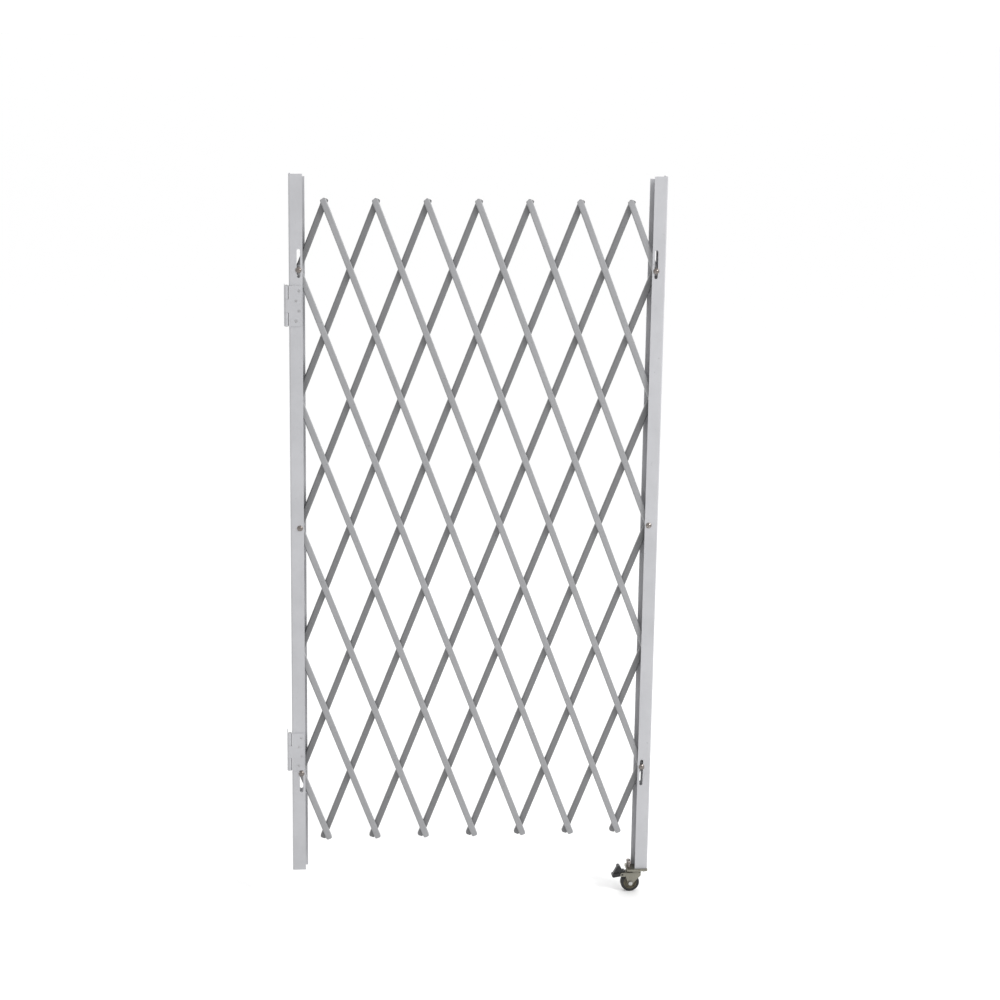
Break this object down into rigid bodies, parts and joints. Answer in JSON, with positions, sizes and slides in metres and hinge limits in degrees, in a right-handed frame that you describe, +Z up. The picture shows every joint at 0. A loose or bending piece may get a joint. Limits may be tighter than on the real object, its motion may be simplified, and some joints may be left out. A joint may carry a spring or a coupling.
{
  "type": "expandable security gate",
  "caption": "Tall expandable security gate: a riveted steel scissor lattice between two channel posts, hinged to a wall on one side, on a braked swivel caster at the other.",
  "frame": {"origin": "on the floor, midway between the wall plane and the leading post's back, and midway through the lattice", "axes": "+Z up, -Y to the front that the picture shows, +X from the hinged post to the post on the caster"},
  "size_m": [0.958, 0.048, 1.907],
  "materials": {
    "steel": "semi-gloss light grey coating",
    "zinc": "bright zinc plate",
    "wheel_core": "satin moulded olive brown",
    "tyre": "matte black rubber",
    "pedal": "matte black moulded"
  },
  "bodies": {
    "wall_side": {"hinge_wall_leaves": "steel", "hinge_pins": "zinc"},
    "hanging_post": {"hanging_post": "steel", "hinge_post_leaves": "steel", "hinge_screws": "zinc", "hanging_pivot_bolt": "zinc"},
    "front_bar_01": {"front_bar_01": "steel", "rivets_01": "zinc", "lower_left_slide_bolt": "zinc"},
    "front_bar_02": {"front_bar_02": "steel", "rivets_02": "zinc"},
    "front_bar_03": {"front_bar_03": "steel", "rivets_03": "zinc"},
    "front_bar_04": {"front_bar_04": "steel", "rivets_04": "zinc"},
    "front_bar_05": {"front_bar_05": "steel", "rivets_05": "zinc", "upper_left_slide_bolt": "zinc"},
    "front_bar_06": {"front_bar_06": "steel", "rivets_06": "zinc"},
    "front_bar_07": {"front_bar_07": "steel", "rivets_07": "zinc"},
    "front_bar_08": {"front_bar_08": "steel", "rivets_08": "zinc", "lower_right_slide_bolt": "zinc"},
    "front_bar_09": {"front_bar_09": "steel", "rivets_09": "zinc"},
    "front_bar_10": {"front_bar_10": "steel", "rivets_10": "zinc"},
    "front_bar_11": {"front_bar_11": "steel", "rivets_11": "zinc"},
    "front_bar_12": {"front_bar_12": "steel", "rivets_12": "zinc", "upper_right_slide_bolt": "zinc"},
    "rear_bar_01": {"rear_bar_01": "steel"},
    "rear_bar_02": {"rear_bar_02": "steel"},
    "rear_bar_03": {"rear_bar_03": "steel"},
    "rear_bar_04": {"rear_bar_04": "steel"},
    "rear_bar_05": {"rear_bar_05": "steel"},
    "rear_bar_06": {"rear_bar_06": "steel"},
    "rear_bar_07": {"rear_bar_07": "steel"},
    "rear_bar_08": {"rear_bar_08": "steel"},
    "rear_bar_09": {"rear_bar_09": "steel"},
    "rear_bar_10": {"rear_bar_10": "steel"},
    "rear_bar_11": {"rear_bar_11": "steel"},
    "rear_bar_12": {"rear_bar_12": "steel"},
    "leading_post": {"leading_post": "steel", "leading_pivot_bolt": "zinc", "foot_plate": "steel", "caster_top_plate": "zinc", "caster_plate_bolts": "zinc", "caster_kingpin": "zinc"},
    "caster_fork": {"caster_fork": "zinc", "caster_axle": "zinc"},
    "caster_wheel": {"caster_wheel": "wheel_core", "caster_tyre": "tyre"},
    "brake_pedal": {"brake_pedal": "pedal"}
  },
  "joints": [
    {"name": "gate_swing", "type": "hinge", "parent": "wall_side", "child": "hanging_post", "pos_m": [-0.47305, -0.014, 0.415], "axis": [0, 0, -1], "range_deg": [0, 180]},
    {"name": "lattice_fold", "type": "hinge", "parent": "hanging_post", "child": "front_bar_03", "pos_m": [-0.44255, 0, 1.01277], "axis": [0, 1, 0], "range_deg": [0, 18]},
    {"name": "rear_bar_03_turn", "type": "hinge", "parent": "front_bar_03", "child": "rear_bar_03", "pos_m": [-0.44255, 0, 1.01277], "axis": [0, 1, 0], "range_deg": [-36, 0]},
    {"name": "rear_bar_04_turn", "type": "hinge", "parent": "front_bar_03", "child": "rear_bar_04", "pos_m": [-0.37843, 0, 0.84833], "axis": [0, 1, 0], "range_deg": [-36, 0]},
    {"name": "rear_bar_05_turn", "type": "hinge", "parent": "front_bar_03", "child": "rear_bar_05", "pos_m": [-0.31432, 0, 0.68389], "axis": [0, 1, 0], "range_deg": [-36, 0]},
    {"name": "rear_bar_06_turn", "type": "hinge", "parent": "front_bar_03", "child": "rear_bar_06", "pos_m": [-0.25021, 0, 0.51944], "axis": [0, 1, 0], "range_deg": [-36, 0]},
    {"name": "rear_bar_07_turn", "type": "hinge", "parent": "front_bar_03", "child": "rear_bar_07", "pos_m": [-0.18609, 0, 0.355], "axis": [0, 1, 0], "range_deg": [-36, 0]},
    {"name": "rear_bar_08_turn", "type": "hinge", "parent": "front_bar_03", "child": "rear_bar_08", "pos_m": [-0.12198, 0, 0.19056], "axis": [0, 1, 0], "range_deg": [-36, 0]},
    {"name": "front_bar_04_turn", "type": "hinge", "parent": "rear_bar_08", "child": "front_bar_04", "pos_m": [-0.05786, 0, 0.355], "axis": [0, 1, 0], "range_deg": [0, 36]},
    {"name": "front_bar_05_turn", "type": "hinge", "parent": "rear_bar_08", "child": "front_bar_05", "pos_m": [0.00625, 0, 0.51944], "axis": [0, 1, 0], "range_deg": [0, 36]},
    {"name": "front_bar_06_turn", "type": "hinge", "parent": "rear_bar_08", "child": "front_bar_06", "pos_m": [0.07036, 0, 0.68389], "axis": [0, 1, 0], "range_deg": [0, 36]},
    {"name": "front_bar_07_turn", "type": "hinge", "parent": "rear_bar_08", "child": "front_bar_07", "pos_m": [0.13448, 0, 0.84833], "axis": [0, 1, 0], "range_deg": [0, 36]},
    {"name": "front_bar_08_turn", "type": "hinge", "parent": "rear_bar_08", "child": "front_bar_08", "pos_m": [0.19859, 0, 1.01277], "axis": [0, 1, 0], "range_deg": [0, 36]},
    {"name": "front_bar_09_turn", "type": "hinge", "parent": "rear_bar_08", "child": "front_bar_09", "pos_m": [0.26271, 0, 1.17722], "axis": [0, 1, 0], "range_deg": [0, 36]},
    {"name": "front_bar_10_turn", "type": "hinge", "parent": "rear_bar_08", "child": "front_bar_10", "pos_m": [0.32682, 0, 1.34166], "axis": [0, 1, 0], "range_deg": [0, 36]},
    {"name": "front_bar_11_turn", "type": "hinge", "parent": "rear_bar_08", "child": "front_bar_11", "pos_m": [0.39093, 0, 1.50611], "axis": [0, 1, 0], "range_deg": [0, 36]},
    {"name": "front_bar_12_turn", "type": "hinge", "parent": "rear_bar_08", "child": "front_bar_12", "pos_m": [0.45505, 0, 1.67055], "axis": [0, 1, 0], "range_deg": [0, 36]},
    {"name": "front_bar_01_turn", "type": "hinge", "parent": "rear_bar_05", "child": "front_bar_01", "pos_m": [-0.44255, 0, 0.355], "axis": [0, 1, 0], "range_deg": [0, 36]},
    {"name": "front_bar_02_turn", "type": "hinge", "parent": "rear_bar_05", "child": "front_bar_02", "pos_m": [-0.37843, 0, 0.51944], "axis": [0, 1, 0], "range_deg": [0, 36]},
    {"name": "rear_bar_01_turn", "type": "hinge", "parent": "front_bar_06", "child": "rear_bar_01", "pos_m": [-0.37843, 0, 1.83499], "axis": [0, 1, 0], "range_deg": [-36, 0]},
    {"name": "rear_bar_02_turn", "type": "hinge", "parent": "front_bar_06", "child": "rear_bar_02", "pos_m": [-0.31432, 0, 1.67055], "axis": [0, 1, 0], "range_deg": [-36, 0]},
    {"name": "rear_bar_09_turn", "type": "hinge", "parent": "front_bar_08", "child": "rear_bar_09", "pos_m": [0.26271, 0, 0.84833], "axis": [0, 1, 0], "range_deg": [-36, 0]},
    {"name": "rear_bar_10_turn", "type": "hinge", "parent": "front_bar_08", "child": "rear_bar_10", "pos_m": [0.32682, 0, 0.68389], "axis": [0, 1, 0], "range_deg": [-36, 0]},
    {"name": "rear_bar_11_turn", "type": "hinge", "parent": "front_bar_08", "child": "rear_bar_11", "pos_m": [0.39093, 0, 0.51944], "axis": [0, 1, 0], "range_deg": [-36, 0]},
    {"name": "rear_bar_12_turn", "type": "hinge", "parent": "front_bar_08", "child": "rear_bar_12", "pos_m": [0.45505, 0, 0.355], "axis": [0, 1, 0], "range_deg": [-36, 0]},
    {"name": "leading_post_turn", "type": "hinge", "parent": "front_bar_10", "child": "leading_post", "pos_m": [0.45505, 0, 1.01277], "axis": [0, 1, 0], "range_deg": [-18, 0]},
    {"name": "caster_swivel", "type": "hinge", "parent": "leading_post", "child": "caster_fork", "pos_m": [0.45105, 0, 0.055], "axis": [0, 0, 1], "continuous": true},
    {"name": "wheel_spin", "type": "hinge", "parent": "caster_fork", "child": "caster_wheel", "pos_m": [0.43505, 0, 0.025], "axis": [0, 1, 0], "continuous": true},
    {"name": "brake_press", "type": "hinge", "parent": "caster_fork", "child": "brake_pedal", "pos_m": [0.41304, 0, 0.04851], "axis": [0, -1, 0], "range_deg": [0, 20]}
  ],
  "couplings": [
    {"joint": "rear_bar_03_turn", "follows": "lattice_fold", "ratio": -2},
    {"joint": "rear_bar_04_turn", "follows": "lattice_fold", "ratio": -2},
    {"joint": "rear_bar_05_turn", "follows": "lattice_fold", "ratio": -2},
    {"joint": "rear_bar_06_turn", "follows": "lattice_fold", "ratio": -2},
    {"joint": "rear_bar_07_turn", "follows": "lattice_fold", "ratio": -2},
    {"joint": "rear_bar_08_turn", "follows": "lattice_fold", "ratio": -2},
    {"joint": "front_bar_04_turn", "follows": "lattice_fold", "ratio": 2},
    {"joint": "front_bar_05_turn", "follows": "lattice_fold", "ratio": 2},
    {"joint": "front_bar_06_turn", "follows": "lattice_fold", "ratio": 2},
    {"joint": "front_bar_07_turn", "follows": "lattice_fold", "ratio": 2},
    {"joint": "front_bar_08_turn", "follows": "lattice_fold", "ratio": 2},
    {"joint": "front_bar_09_turn", "follows": "lattice_fold", "ratio": 2},
    {"joint": "front_bar_10_turn", "follows": "lattice_fold", "ratio": 2},
    {"joint": "front_bar_11_turn", "follows": "lattice_fold", "ratio": 2},
    {"joint": "front_bar_12_turn", "follows": "lattice_fold", "ratio": 2},
    {"joint": "front_bar_01_turn", "follows": "lattice_fold", "ratio": 2},
    {"joint": "front_bar_02_turn", "follows": "lattice_fold", "ratio": 2},
    {"joint": "rear_bar_01_turn", "follows": "lattice_fold", "ratio": -2},
    {"joint": "rear_bar_02_turn", "follows": "lattice_fold", "ratio": -2},
    {"joint": "rear_bar_09_turn", "follows": "lattice_fold", "ratio": -2},
    {"joint": "rear_bar_10_turn", "follows": "lattice_fold", "ratio": -2},
    {"joint": "rear_bar_11_turn", "follows": "lattice_fold", "ratio": -2},
    {"joint": "rear_bar_12_turn", "follows": "lattice_fold", "ratio": -2},
    {"joint": "leading_post_turn", "follows": "lattice_fold", "ratio": -1}
  ]
}
